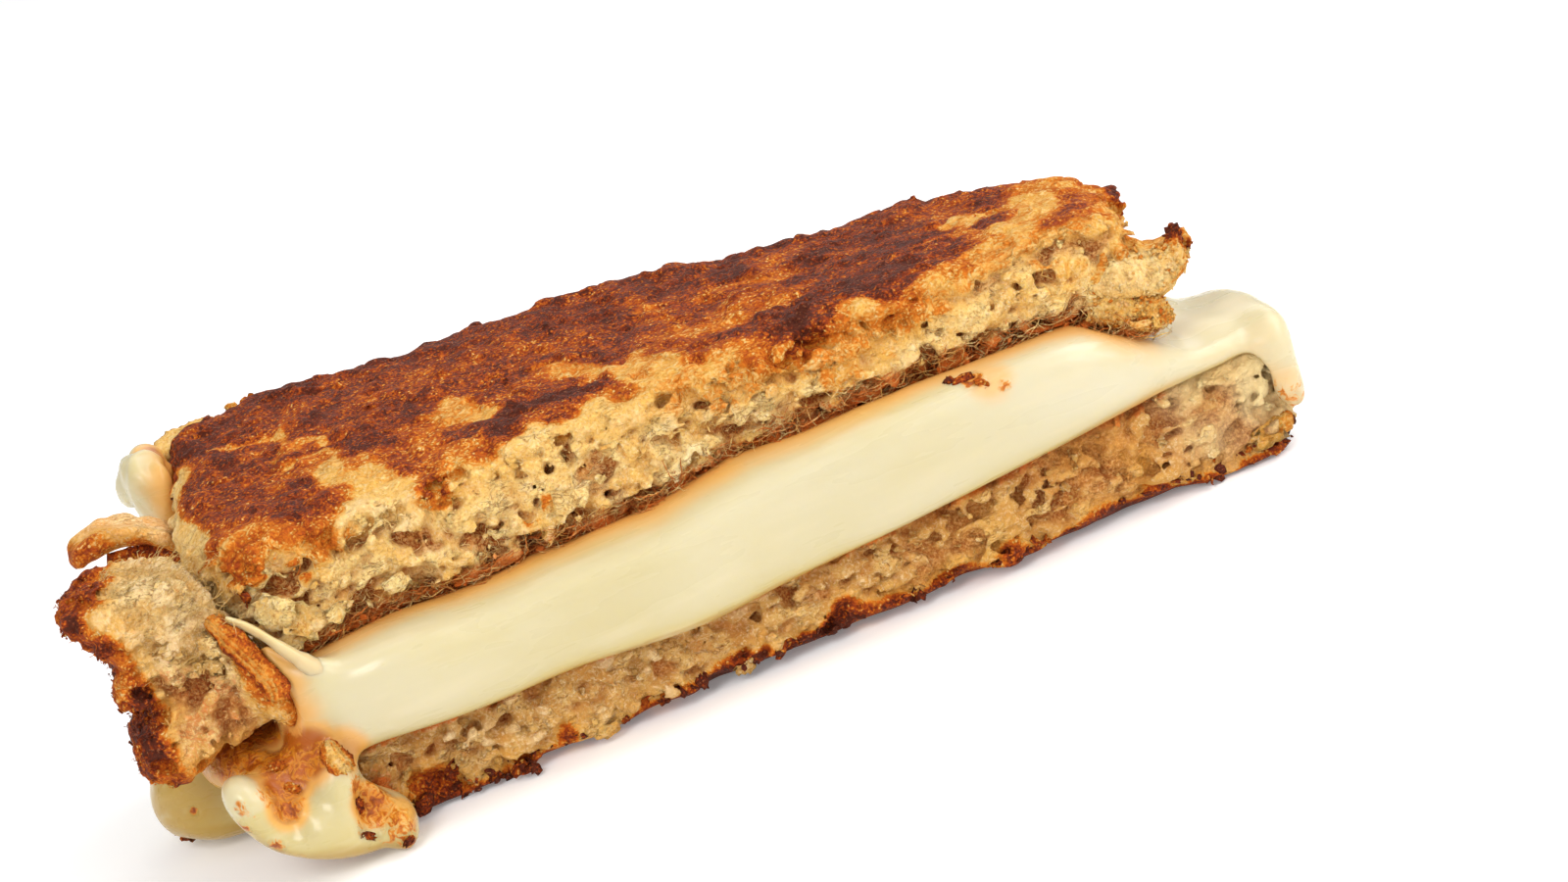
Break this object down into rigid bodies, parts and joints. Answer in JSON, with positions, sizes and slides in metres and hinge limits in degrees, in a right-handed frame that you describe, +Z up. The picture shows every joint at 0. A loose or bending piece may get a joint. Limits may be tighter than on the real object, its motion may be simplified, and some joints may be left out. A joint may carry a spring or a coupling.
{
  "type": "grilled cheese sandwich",
  "caption": "Half of a grilled cheese sandwich, cut across: browned bread slices with melted cheese that swells from the cut side and has run over both ends.",
  "frame": {"origin": "under the middle of the half's bounding box, on the face it lies on", "axes": "+X along the cut, from the torn end to the end the cheese has run over; +Y from the cut side towards the loaf's crust; +Z up, out of the browned upper face"},
  "size_m": [0.149, 0.0628, 0.0448],
  "materials": {
    "toasted_bread": "dry toasted bread: dark reddish-brown patches over golden crust on the upper face, tan open crumb on the sides",
    "bread_crumb": "dry open crumb with small holes, toasted brown underneath",
    "torn_crust": "dry torn crumb, fluffy and pale above, toasted dark brown on its outer face",
    "crust_ribbon": "dry thin crust, brown underneath",
    "cheese": "smooth glossy melted cheese, pale yellow, oily orange where it meets the toast"
  },
  "bodies": {
    "root": {"bread_top": "toasted_bread", "bread_bottom": "bread_crumb", "torn_end": "torn_crust", "crust_curl": "crust_ribbon", "melted_cheese": "cheese"}
  },
  "joints": []
}
